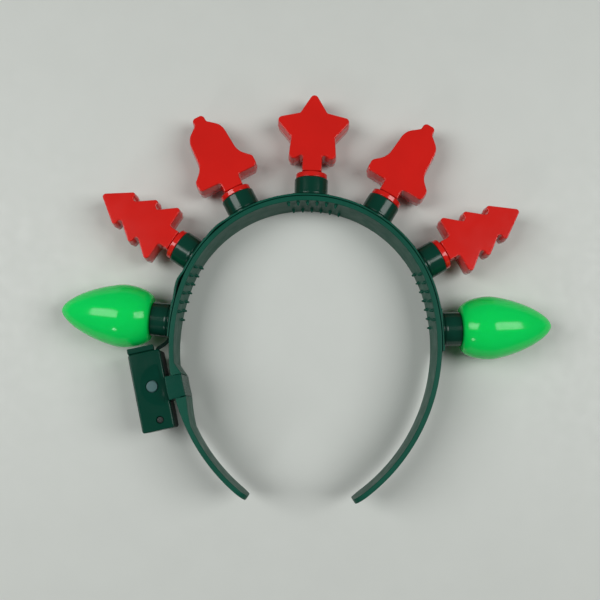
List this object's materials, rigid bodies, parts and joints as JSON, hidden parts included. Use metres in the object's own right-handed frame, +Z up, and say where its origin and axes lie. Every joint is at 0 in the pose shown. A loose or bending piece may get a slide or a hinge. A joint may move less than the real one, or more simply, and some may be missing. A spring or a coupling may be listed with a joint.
{
  "type": "light-up christmas headband",
  "caption": "Springy green plastic headband with red festive shapes and big green bulbs on lamp sockets, lit from a battery case on one arm.",
  "frame": {"origin": "centre of the bounding box on the floor", "axes": "+X across the hoop from the battery case's side to the other, +Y towards the crown and the front shape, +Z up from the table"},
  "size_m": [0.252, 0.2094, 0.0337],
  "materials": {
    "band": "dark green moulded plastic, satin",
    "socket": "dark green moulded plastic, glossy",
    "red_shape": "bright red moulded plastic, glossy",
    "bulb": "translucent green plastic, glossy",
    "case": "dark green moulded plastic, satin",
    "button": "grey-green push button, matte",
    "screw": "dark zinc-plated steel",
    "lead": "dark green wire insulation"
  },
  "bodies": {
    "headband": {"headband": "band", "wire_cover": "band", "socket_bulb_left": "socket", "bulb_left": "bulb", "socket_tree_left": "socket", "tree_left": "red_shape", "socket_bell_left": "socket", "bell_left": "red_shape", "socket_star": "socket", "star": "red_shape", "socket_bell_right": "socket", "bell_right": "red_shape", "socket_tree_right": "socket", "tree_right": "red_shape", "socket_bulb_right": "socket", "bulb_right": "bulb", "battery_case": "case", "battery_lid": "case", "lid_screw": "screw", "battery_lead": "lead"},
    "button": {"push_button": "button"}
  },
  "joints": [
    {"name": "button_press", "type": "slide", "parent": "headband", "child": "button", "axis": [0, 0.0619, 0.9981], "range_m": [-0.0008, 0], "stiffness_N_per_m": 200, "springref_m": 0.0005}
  ]
}
